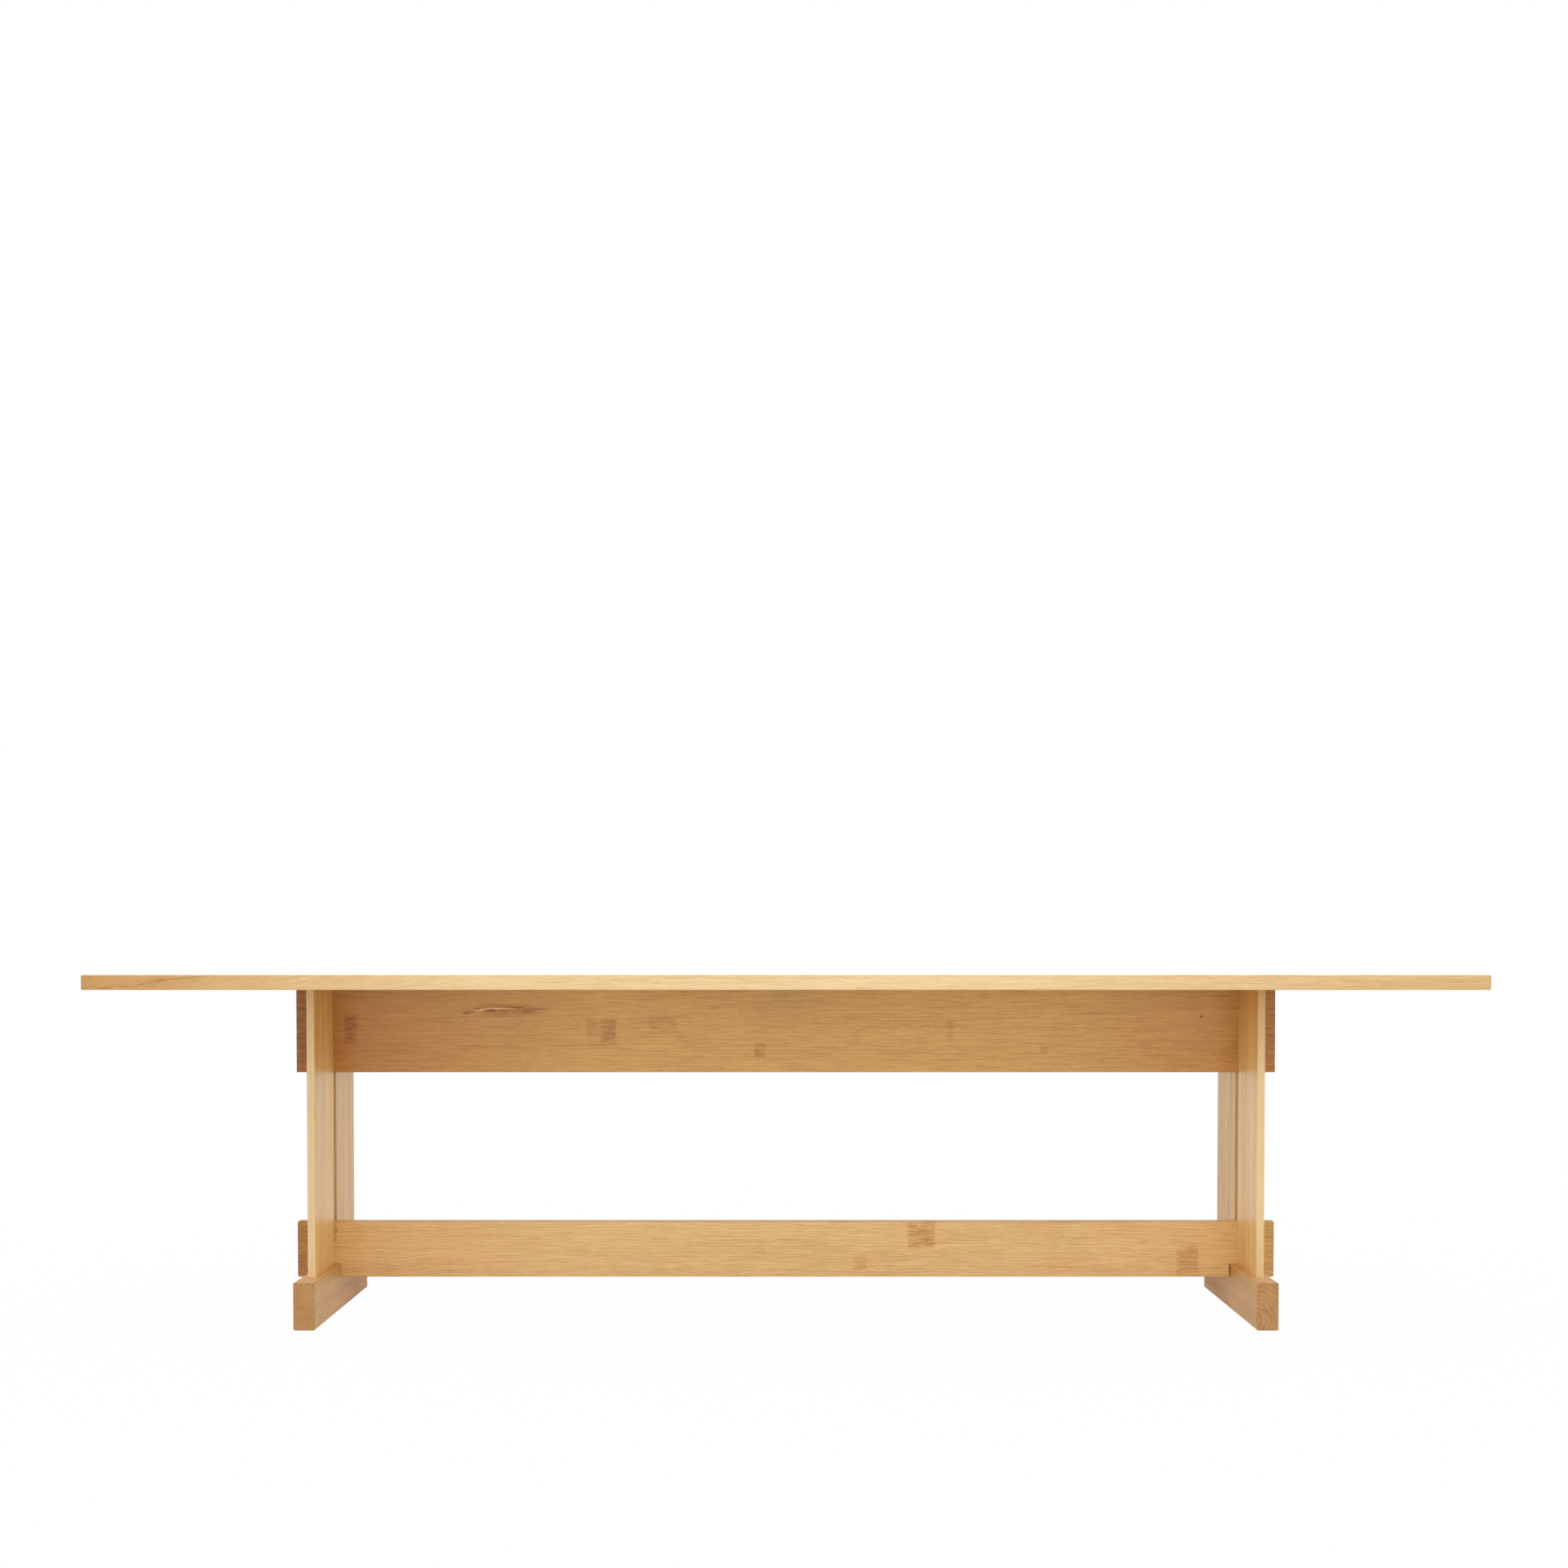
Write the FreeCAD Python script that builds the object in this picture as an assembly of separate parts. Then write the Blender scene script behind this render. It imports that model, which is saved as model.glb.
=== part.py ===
import FreeCAD, Part

import os

# Trestle dining table in solid oak, in millimetres. +Z is up, X runs along the table and the
# front is at -Y. The origin is on the floor, at the middle of the table.
#
# Two sled-like trestles carry the top. Each one has a foot beam that runs from front to back
# and a pair of thin planks that stand on it, one behind the other, with a slot between them.
# Two long rails lie on edge in those slots: a deep one right under the top, and a stretcher
# that is halved over the feet. Both rails run on past the planks as short tails.

# Overall sizes
TABLE_LENGTH = 2800.0
TABLE_DEPTH = 950.0
TABLE_HEIGHT = 740.0

# Top: full-length boards, glued edge to edge
TOP_THICKNESS = 30.0
TOP_BOARD_COUNT = 7
TOP_ARRIS = 2.5
TOP_END_ARRIS = 2.0

# Trestles: how far the top reaches past the feet, and the feet past the planks
END_OVERHANG = 380.0
SIDE_OVERHANG = 175.0
PLANK_SETBACK = 80.0
FOOT_WIDTH = 45.0
FOOT_HEIGHT = 99.0
PLANK_THICKNESS = 16.0

# Long rails, and how far their tails reach past the feet
RAIL_THICKNESS = 30.0
UPPER_RAIL_HEIGHT = 190.0
UPPER_RAIL_TAIL = 50.0
STRETCHER_HEIGHT = 122.0
STRETCHER_TAIL = 50.0

# Arrises of the base, rounded along the grain and broken at the ends: fuller on the feet and
# the stretcher, which shins and shoes meet, than on the planks and the upper rail
LOW_ARRIS = 3.0
LOW_END_ARRIS = 2.0
HIGH_ARRIS = 1.5
HIGH_END_ARRIS = 1.0

# Halving joint between the stretcher and each foot
STRETCHER_DROP = 29.0
FOOT_HOUSING_DEPTH = 12.0
HALVING_CLEARANCE = 1.3

# The stretcher's notches lie this much left of the feet: it is tight inside the left foot, and
# leaves an open joint inside the right one
NOTCH_SHIFT = 1.1

# Stub tenons of the planks in the feet
TENON_LENGTH = 25.0
TENON_SHOULDER = 12.0

# Loose tenons: flat hardwood slips from plank to plank through the rails, and from the planks
# up into the top
SLIP_THICKNESS = 6.0
SLIP_PLANK_DEPTH = 25.0
RAIL_SLIP_HEIGHT = 45.0
UPPER_SLIP_COUNT = 2
UPPER_SLIP_SPACING = 95.0
TOP_SLIP_WIDTH = 60.0
TOP_SLIP_DEPTH = 12.0

# What is left free round a tenon or a slip, at its faces and at its ends
TENON_CLEARANCE = 0.1
TENON_END_CLEARANCE = 1.0

# Flanged M8 bolts that hold the top to the upper rail, and their threaded inserts
BOLT_DIAMETER = 8.0
BOLT_LENGTH = 60.0
BOLT_HEAD_DIAMETER = 17.0
BOLT_HEAD_HEIGHT = 5.0
BOLT_SOCKET_WIDTH = 6.0
BOLT_SOCKET_DEPTH = 3.5
BOLT_ENGAGEMENT = 16.0
BOLT_HOLE_CLEARANCE = 0.5
BOLT_COUNT = 4
BOLT_TRESTLE_DISTANCE = 157.5
COUNTERBORE_CLEARANCE = 1.0
INSERT_DIAMETER = 12.0
INSERT_LENGTH = 18.0
INSERT_END_CLEARANCE = 1.0
THREAD_CLEARANCE = 0.1

# Steel channels that keep the top flat, let into its underside with their open side down
CHANNEL_COUNT = 3
CHANNEL_END_DISTANCE = 210.0
CHANNEL_INSET = 100.0
CHANNEL_WIDTH = 40.0
CHANNEL_HEIGHT = 10.0
CHANNEL_WALL = 2.5
CHANNEL_RECESS = 0.5
CHANNEL_SIDE_CLEARANCE = 0.5
CHANNEL_END_CLEARANCE = 5.0
SCREW_COUNT = 3
SCREW_END_DISTANCE = 55.0
SCREW_DIAMETER = 5.0
SCREW_LENGTH = 16.0
SCREW_HEAD_DIAMETER = 11.0
SCREW_HEAD_HEIGHT = 3.0
SCREW_CLEARANCE = 0.1
SLOT_WIDTH = 6.0
SLOT_LENGTH = 16.0

# Felt pads let into the feet
PAD_LENGTH = 60.0
PAD_WIDTH = 25.0
PAD_THICKNESS = 3.0
PAD_STANDOUT = 1.0
PAD_END_DISTANCE = 15.0
PAD_CLEARANCE = 0.2

# Sizes that follow
FOOT_LENGTH = TABLE_DEPTH - 2 * SIDE_OVERHANG
PLANK_WIDTH = (FOOT_LENGTH - RAIL_THICKNESS) / 2 - PLANK_SETBACK
UPPER_RAIL_LENGTH = TABLE_LENGTH - 2 * (END_OVERHANG - UPPER_RAIL_TAIL)
STRETCHER_LENGTH = TABLE_LENGTH - 2 * (END_OVERHANG - STRETCHER_TAIL)
CHANNEL_LENGTH = TABLE_DEPTH - 2 * CHANNEL_INSET

# Levels and positions that follow
FOOT_BOTTOM = PAD_STANDOUT
FOOT_TOP = FOOT_BOTTOM + FOOT_HEIGHT
TENON_BOTTOM = FOOT_TOP - TENON_LENGTH
HOUSING_FLOOR = FOOT_TOP - FOOT_HOUSING_DEPTH
STRETCHER_BOTTOM = FOOT_TOP - STRETCHER_DROP
STRETCHER_TOP = STRETCHER_BOTTOM + STRETCHER_HEIGHT
TOP_UNDERSIDE = TABLE_HEIGHT - TOP_THICKNESS
UPPER_RAIL_BOTTOM = TOP_UNDERSIDE - UPPER_RAIL_HEIGHT
UPPER_RAIL_MIDDLE = (UPPER_RAIL_BOTTOM + TOP_UNDERSIDE) / 2
STRETCHER_MIDDLE = (FOOT_TOP + STRETCHER_TOP) / 2
TRESTLE_X = TABLE_LENGTH / 2 - END_OVERHANG - FOOT_WIDTH / 2
PLANK_Y = (RAIL_THICKNESS + PLANK_WIDTH) / 2
PAD_Y = FOOT_LENGTH / 2 - PAD_END_DISTANCE - PAD_LENGTH / 2
BOLT_SPACING = 2 * (TRESTLE_X - BOLT_TRESTLE_DISTANCE) / (BOLT_COUNT - 1)
CHANNEL_SPACING = (TABLE_LENGTH - 2 * CHANNEL_END_DISTANCE) / (CHANNEL_COUNT - 1)
SCREW_SPACING = (CHANNEL_LENGTH - 2 * SCREW_END_DISTANCE) / (SCREW_COUNT - 1)
CHANNEL_BOTTOM = TOP_UNDERSIDE + CHANNEL_RECESS
CHANNEL_TOP = CHANNEL_BOTTOM + CHANNEL_HEIGHT
WEB_UNDERSIDE = CHANNEL_TOP - CHANNEL_WALL

# The level that the bolts' heads press on: the counterbores end there
BOLT_SEAT = TOP_UNDERSIDE + BOLT_ENGAGEMENT - BOLT_LENGTH

X_AXIS = FreeCAD.Vector(1, 0, 0)
Y_AXIS = FreeCAD.Vector(0, 1, 0)
Z_AXIS = FreeCAD.Vector(0, 0, 1)

# The two trestles, and the planks in front of the rails and behind them
TRESTLES = {"left": -TRESTLE_X, "right": TRESTLE_X}
ROWS = {"front": -PLANK_Y, "rear": PLANK_Y}


# --- Shapes that the pieces share -------------------------------------------------------------

def spread(count, spacing, centre=0.0):
    """Positions of a row of equally spaced things about its centre."""
    first = centre - spacing * (count - 1) / 2
    return [first + spacing * index for index in range(count)]


def block(length, depth, low, high, x=0.0, y=0.0):
    """A square-edged block between two levels, centred on x and y."""
    corner = FreeCAD.Vector(x - length / 2, y - depth / 2, low)
    return Part.makeBox(length, depth, high - low, corner)


def rod(diameter, length, x, y, low):
    """An upright round rod or bore that starts at a level."""
    return Part.makeCylinder(diameter / 2, length, FreeCAD.Vector(x, y, low), Z_AXIS)


def runs_along(edge, axis):
    """True for a straight edge that is parallel to an axis."""
    return abs(edge.tangentAt(edge.FirstParameter).dot(axis)) > 0.999


def round_along(board, grain, radius):
    """Rounds a board's four long arrises, which run along the grain."""
    return board.makeFillet(radius, [edge for edge in board.Edges if runs_along(edge, grain)])


def break_ends(board, grain, size):
    """Breaks the arrises round the two ends of a board that has its long arrises rounded."""
    ends = [face for face in board.Faces if abs(face.normalAt(0, 0).dot(grain)) > 0.999]
    return board.makeChamfer(size, [edge for face in ends for edge in face.Edges])


def planed(board, grain, arris, end_arris):
    """A planed board of the base, with all of its arrises eased."""
    return break_ends(round_along(board, grain, arris), grain, end_arris)


def cut_all(shape, tools):
    """The shape less all of the tools, as one clean solid."""
    return shape.cut(tools).removeSplitter()


def group(solids):
    """Separate, like solids that share one name."""
    return Part.makeCompound(list(solids))


# --- Tenons and slips -------------------------------------------------------------------------

def stub_tenon(x, y):
    """The stub tenon at the lower end of a plank."""
    return block(PLANK_THICKNESS, PLANK_WIDTH - 2 * TENON_SHOULDER, TENON_BOTTOM, FOOT_TOP, x, y)


def stub_mortise(x, y):
    """The mortise in a foot for a plank's stub tenon."""
    thickness = PLANK_THICKNESS + TENON_CLEARANCE
    width = PLANK_WIDTH - 2 * TENON_SHOULDER + TENON_CLEARANCE
    return block(thickness, width, TENON_BOTTOM - TENON_END_CLEARANCE, FOOT_TOP, x, y)


def rail_slips(x, heights, clearance=0.0, end_clearance=0.0):
    """Slips that run from plank to plank through a rail, or with clearances their mortises."""
    thickness = SLIP_THICKNESS + clearance
    half = (RAIL_SLIP_HEIGHT + clearance) / 2
    length = RAIL_THICKNESS + 2 * (SLIP_PLANK_DEPTH + end_clearance)
    return [block(thickness, length, z - half, z + half, x) for z in heights]


def upper_slips(x, *clearances):
    """The slips of one trestle at the upper rail."""
    return rail_slips(x, spread(UPPER_SLIP_COUNT, UPPER_SLIP_SPACING, UPPER_RAIL_MIDDLE), *clearances)


def stretcher_slips(x, *clearances):
    """The slip of one trestle at the stretcher, midway between its top and the foot's."""
    return rail_slips(x, [STRETCHER_MIDDLE], *clearances)


def top_slip(x, y, clearance=0.0, end_clearance=0.0):
    """The slip that keeps the top in place on a plank, or with clearances its mortise."""
    low = TOP_UNDERSIDE - SLIP_PLANK_DEPTH - end_clearance
    high = TOP_UNDERSIDE + TOP_SLIP_DEPTH + end_clearance
    return block(SLIP_THICKNESS + clearance, TOP_SLIP_WIDTH + clearance, low, high, x, y)


def slip_mortises(x):
    """All of the slip mortises of one trestle: through the rails, blind in planks and top."""
    clearances = (TENON_CLEARANCE, TENON_END_CLEARANCE)
    mortises = upper_slips(x, *clearances) + stretcher_slips(x, *clearances)
    return mortises + [top_slip(x, y, *clearances) for y in ROWS.values()]


# --- Bolts, channels, screws and pads ---------------------------------------------------------

def bolt(x):
    """A flanged bolt that points up, with a hexagon socket in the underside of its head."""
    head_bottom = BOLT_SEAT - BOLT_HEAD_HEIGHT
    shank = rod(BOLT_DIAMETER, BOLT_LENGTH, x, 0, BOLT_SEAT)
    head = rod(BOLT_HEAD_DIAMETER, BOLT_HEAD_HEIGHT, x, 0, head_bottom)
    centre = FreeCAD.Vector(x, 0, head_bottom)
    corner = X_AXIS * (BOLT_SOCKET_WIDTH / 3 ** 0.5)
    turns = [FreeCAD.Rotation(Z_AXIS, 60 * step) for step in range(7)]
    hexagon = Part.makePolygon([centre + turn.multVec(corner) for turn in turns])
    socket = Part.Face(hexagon).extrude(Z_AXIS * BOLT_SOCKET_DEPTH)
    return cut_all(shank.fuse(head), [socket])


def bolt_bores(x):
    """The counterbore in the underside of the upper rail, and the clear hole above it."""
    bore = BOLT_HEAD_DIAMETER + COUNTERBORE_CLEARANCE
    counterbore = rod(bore, BOLT_SEAT - UPPER_RAIL_BOTTOM, x, 0, UPPER_RAIL_BOTTOM)
    through = rod(BOLT_DIAMETER + BOLT_HOLE_CLEARANCE, TOP_UNDERSIDE - BOLT_SEAT, x, 0, BOLT_SEAT)
    return [counterbore, through]


def insert(x):
    """A threaded insert in the underside of the top."""
    sleeve = rod(INSERT_DIAMETER, INSERT_LENGTH, x, 0, TOP_UNDERSIDE)
    return sleeve.cut(rod(BOLT_DIAMETER + THREAD_CLEARANCE, INSERT_LENGTH, x, 0, TOP_UNDERSIDE))


def insert_bore(x):
    """The blind hole in the top for a threaded insert."""
    return rod(INSERT_DIAMETER, INSERT_LENGTH + INSERT_END_CLEARANCE, x, 0, TOP_UNDERSIDE)


def screw(x, y):
    """A flat-headed screw that holds a channel's web up against the wood."""
    shank = rod(SCREW_DIAMETER, SCREW_LENGTH, x, y, WEB_UNDERSIDE)
    head = rod(SCREW_HEAD_DIAMETER, SCREW_HEAD_HEIGHT, x, y, WEB_UNDERSIDE - SCREW_HEAD_HEIGHT)
    return shank.fuse(head).removeSplitter()


def screw_bore(x, y):
    """The pilot hole for a screw, as deep as its tip."""
    return rod(SCREW_DIAMETER + SCREW_CLEARANCE, SCREW_LENGTH, x, y, WEB_UNDERSIDE)


def screw_slot(x, y):
    """A punched slot in a channel's web, long enough for the top to swell and shrink."""
    return block(SLOT_WIDTH, SLOT_LENGTH, WEB_UNDERSIDE, CHANNEL_TOP, x, y)


def channel(x):
    """A U-shaped steel channel with its web up and slotted holes across the boards."""
    body = block(CHANNEL_WIDTH, CHANNEL_LENGTH, CHANNEL_BOTTOM, CHANNEL_TOP, x)
    inner_width = CHANNEL_WIDTH - 2 * CHANNEL_WALL
    hollow = block(inner_width, CHANNEL_LENGTH, CHANNEL_BOTTOM, WEB_UNDERSIDE, x)
    return cut_all(body, [hollow] + [screw_slot(x, y) for y in spread(SCREW_COUNT, SCREW_SPACING)])


def channel_groove(x):
    """The groove in the top's underside for a channel."""
    width = CHANNEL_WIDTH + 2 * CHANNEL_SIDE_CLEARANCE
    length = CHANNEL_LENGTH + 2 * CHANNEL_END_CLEARANCE
    return block(width, length, TOP_UNDERSIDE, CHANNEL_TOP, x)


def pad(x, y):
    """A felt pad that stands a little proud of the foot."""
    return block(PAD_WIDTH, PAD_LENGTH, 0, PAD_THICKNESS, x, y)


def pad_recess(x, y):
    """The recess in a foot for a felt pad."""
    width = PAD_WIDTH + PAD_CLEARANCE
    return block(width, PAD_LENGTH + PAD_CLEARANCE, FOOT_BOTTOM, PAD_THICKNESS, x, y)


# --- Boards -----------------------------------------------------------------------------------

def top_boards(bolt_places, channel_places):
    """The boards of the top: one eased slab, cut along the glue lines."""
    slab = round_along(block(TABLE_LENGTH, TABLE_DEPTH, TOP_UNDERSIDE, TABLE_HEIGHT), X_AXIS, TOP_ARRIS)
    slab = break_ends(slab, X_AXIS, TOP_END_ARRIS)
    tools = [insert_bore(x) for x in bolt_places]
    for x in channel_places:
        tools.append(channel_groove(x))
        tools += [screw_bore(x, y) for y in spread(SCREW_COUNT, SCREW_SPACING)]
    for x in TRESTLES.values():
        tools += slip_mortises(x)
    slab = slab.cut(tools)
    board_width = TABLE_DEPTH / TOP_BOARD_COUNT
    boards = {}
    for number, y in enumerate(spread(TOP_BOARD_COUNT, board_width), start=1):
        strip = block(TABLE_LENGTH, board_width, TOP_UNDERSIDE, TABLE_HEIGHT, 0, y)
        boards[f"top_board_{number}"] = slab.common(strip)
    return boards


def upper_rail(bolt_places):
    """The deep rail under the top, with through mortises and counterbored bolt holes."""
    rail = block(UPPER_RAIL_LENGTH, RAIL_THICKNESS, UPPER_RAIL_BOTTOM, TOP_UNDERSIDE)
    tools = [tool for x in TRESTLES.values() for tool in slip_mortises(x)]
    tools += [bore for x in bolt_places for bore in bolt_bores(x)]
    return cut_all(planed(rail, X_AXIS, HIGH_ARRIS, HIGH_END_ARRIS), tools)


def lower_stretcher():
    """The stretcher, notched to sit over the feet."""
    rail = block(STRETCHER_LENGTH, RAIL_THICKNESS, STRETCHER_BOTTOM, STRETCHER_TOP)
    notch_width = FOOT_WIDTH + 2 * HALVING_CLEARANCE
    tools = []
    for x in TRESTLES.values():
        notch_x = x - NOTCH_SHIFT
        tools.append(block(notch_width, RAIL_THICKNESS, STRETCHER_BOTTOM, HOUSING_FLOOR, notch_x))
        tools += slip_mortises(x)
    return cut_all(planed(rail, X_AXIS, LOW_ARRIS, LOW_END_ARRIS), tools)


def foot(x):
    """A foot beam with its mortises, its housing for the stretcher and its pad recesses."""
    beam = block(FOOT_WIDTH, FOOT_LENGTH, FOOT_BOTTOM, FOOT_TOP, x)
    housing = block(FOOT_WIDTH, RAIL_THICKNESS, HOUSING_FLOOR, FOOT_TOP, x)
    mortises = [stub_mortise(x, y) for y in ROWS.values()]
    recesses = [pad_recess(x, y) for y in (-PAD_Y, PAD_Y)]
    return cut_all(planed(beam, Y_AXIS, LOW_ARRIS, LOW_END_ARRIS), [housing] + mortises + recesses)


def plank(x, y):
    """An upright plank with a stub tenon below and mortises for the slips."""
    upright = block(PLANK_THICKNESS, PLANK_WIDTH, FOOT_TOP, TOP_UNDERSIDE, x, y)
    upright = round_along(upright, Z_AXIS, HIGH_ARRIS)
    return cut_all(upright.fuse(stub_tenon(x, y)), slip_mortises(x))


# --- The table --------------------------------------------------------------------------------

def table():
    """Every piece of the table, by name."""
    bolt_places = spread(BOLT_COUNT, BOLT_SPACING)
    channel_places = spread(CHANNEL_COUNT, CHANNEL_SPACING)
    nodes = top_boards(bolt_places, channel_places)
    nodes["upper_rail"] = upper_rail(bolt_places)
    nodes["lower_stretcher"] = lower_stretcher()
    for trestle, x in TRESTLES.items():
        nodes[f"{trestle}_foot"] = foot(x)
        for row, y in ROWS.items():
            nodes[f"{trestle}_{row}_plank"] = plank(x, y)
        nodes[f"{trestle}_rail_slips"] = group(upper_slips(x))
        nodes[f"{trestle}_stretcher_slip"] = group(stretcher_slips(x))
    nodes["top_slips"] = group(top_slip(x, y) for x in TRESTLES.values() for y in ROWS.values())
    nodes["top_bolts"] = group(bolt(x) for x in bolt_places)
    nodes["top_inserts"] = group(insert(x) for x in bolt_places)
    screws = []
    for number, x in enumerate(channel_places, start=1):
        nodes[f"stiffener_channel_{number}"] = channel(x)
        screws += [screw(x, y) for y in spread(SCREW_COUNT, SCREW_SPACING)]
    nodes["channel_screws"] = group(screws)
    nodes["felt_pads"] = group(pad(x, y) for x in TRESTLES.values() for y in (-PAD_Y, PAD_Y))
    return nodes


def main():
    os.makedirs("parts", exist_ok=True)
    for name, shape in table().items():
        shape.exportStep(f"parts/{name}.step")


main()
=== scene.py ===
import math
from contextlib import contextmanager
from functools import partial

import bmesh
import bpy
from bpy.props import FloatProperty, FloatVectorProperty, IntProperty, PointerProperty
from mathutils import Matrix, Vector


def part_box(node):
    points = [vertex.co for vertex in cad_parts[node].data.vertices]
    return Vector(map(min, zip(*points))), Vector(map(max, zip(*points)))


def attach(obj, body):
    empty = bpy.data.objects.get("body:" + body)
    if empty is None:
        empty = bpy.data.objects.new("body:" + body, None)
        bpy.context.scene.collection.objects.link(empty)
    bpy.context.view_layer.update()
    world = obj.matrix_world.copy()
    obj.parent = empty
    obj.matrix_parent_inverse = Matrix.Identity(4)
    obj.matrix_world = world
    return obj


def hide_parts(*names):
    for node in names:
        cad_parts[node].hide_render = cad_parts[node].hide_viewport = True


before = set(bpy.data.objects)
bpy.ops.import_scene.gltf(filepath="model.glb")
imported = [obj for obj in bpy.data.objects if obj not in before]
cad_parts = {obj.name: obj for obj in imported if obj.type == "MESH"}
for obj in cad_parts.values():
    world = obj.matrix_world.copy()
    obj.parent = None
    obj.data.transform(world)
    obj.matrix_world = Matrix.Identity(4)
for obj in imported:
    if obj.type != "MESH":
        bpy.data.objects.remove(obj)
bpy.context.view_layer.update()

bl_info = {
    "name": "Trestle dining table",
    "version": (1, 0, 0),
    "blender": (4, 5, 0),
    "location": "3D View > Sidebar > Table",
    "description": "Finishes a solid oak trestle table: its boards, fasteners, pads and studio",
    "category": "Object",
}

MM = 0.001

# A colour Mix node's sockets: the share of the upper colour, both colours, and the result
FACTOR, UNDER, OVER, MIXED = 0, 6, 7, 2


# --- Colours and nodes ---

def srgb(code):
    """The linear colour, with alpha, of an sRGB hex value."""
    parts = [int(code[i:i + 2], 16) / 255 for i in (1, 3, 5)]
    return [p / 12.92 if p <= 0.04045 else ((p + 0.055) / 1.055) ** 2.4 for p in parts] + [1.0]


def tinted(colour, red, green, blue):
    """A colour with its three parts scaled."""
    return [colour[0] * red, colour[1] * green, colour[2] * blue, 1.0]


def add_node(tree, kind, inputs=(), output=0, stops=(), **settings):
    """Adds a node with its settings, its inputs (values or links) and its ramp's stops."""
    node = tree.nodes.new("ShaderNode" + kind)
    for key, value in settings.items():
        setattr(node, key, value)
    for key, value in inputs.items() if isinstance(inputs, dict) else enumerate(inputs):
        if isinstance(value, bpy.types.NodeSocket):
            tree.links.new(value, node.inputs[key])
        elif value is not None:
            node.inputs[key].default_value = value
    for number, (place, colour) in enumerate(stops):
        ramp = node.color_ramp.elements
        stop = ramp[number] if number < 2 else ramp.new(place)
        stop.position, stop.color = place, colour
    return node.outputs[output] if len(node.outputs) else node


def new_material(name):
    """A material with an empty node tree, and what adds nodes to that tree."""
    material = bpy.data.materials.get(name) or bpy.data.materials.new(name)
    material.use_nodes = True
    material.node_tree.nodes.clear()
    return material, partial(add_node, material.node_tree)


# --- Oak ---

# What turns the object's axes so that the first one runs along a board's grain
GRAIN_TURN = {"x": (0, 0, 0), "y": (0, 0, -math.pi / 2), "z": (0, math.pi / 2, 0)}
AXES = {"x": (1, 0, 0), "y": (0, 1, 0), "z": (0, 0, 1)}
FRONT, UP = (0, -1, 0), (0, 0, 1)
# From one board's part of the tree to the next, and half of a mark's depth, in metres
SEED_STEP, THROUGH = 7.31, 100.0
# What pores and lines, the porous bands and dense wood do to the tone
DARKEST, BROWN, PALEST = (0.76, 0.66, 0.52), (0.91, 0.87, 0.80), (1.17, 1.26, 1.42)

# How each board lay in its tree, and how it differs from the others. Lengths are in mm.
# grain: the axis that its grain follows
# heart: the tree's middle, as the two other coordinates
# rings: one year's growth
# sway: how far the tree strays from straight
# ripple: how far its grain waves
# warp: how far its rings stray from round, in years
# seed: which part of the tree it is
# runout: where the tree curves away, and how fast, in 1/m
# swells: where the rings bulge, as middle, half sizes and height
# bands: the width of its broad shades, and their strength
# lines: how strongly its fine lines show
# growth: how strongly its growth rings show
# ends: the same on its ends
# shade: how its colour differs, in red, green and blue
# outer: which way along y its outer edge faces; painted light makes that edge paler, and
#   painted shade makes the one in the slot darker
# painted_top_light: painted light, how much paler its upper face is made
# rear: painted shade, how much browner it is made behind
# stains_and_shade: darker parts, real stains and painted shade, as middle, half sizes and strength
# front_stain_and_shade: the same on its front edge, a stain and painted shade towards its ends
# tails: painted shade, the same for its ends beyond the planks, which are sharply bounded
# dull: how much rougher it is, and how uneven its gloss and its surface are
# The feet get painted shade towards the rear.
FOOT = dict(grain="y", ripple=2, lines=0.6, growth=0.25, rear=0.8, dull=(0.16, 0.10))
PLANK = dict(grain="z", rings=5.0, sway=12, lines=0.3, dull=(0.03, 0.02))
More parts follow.
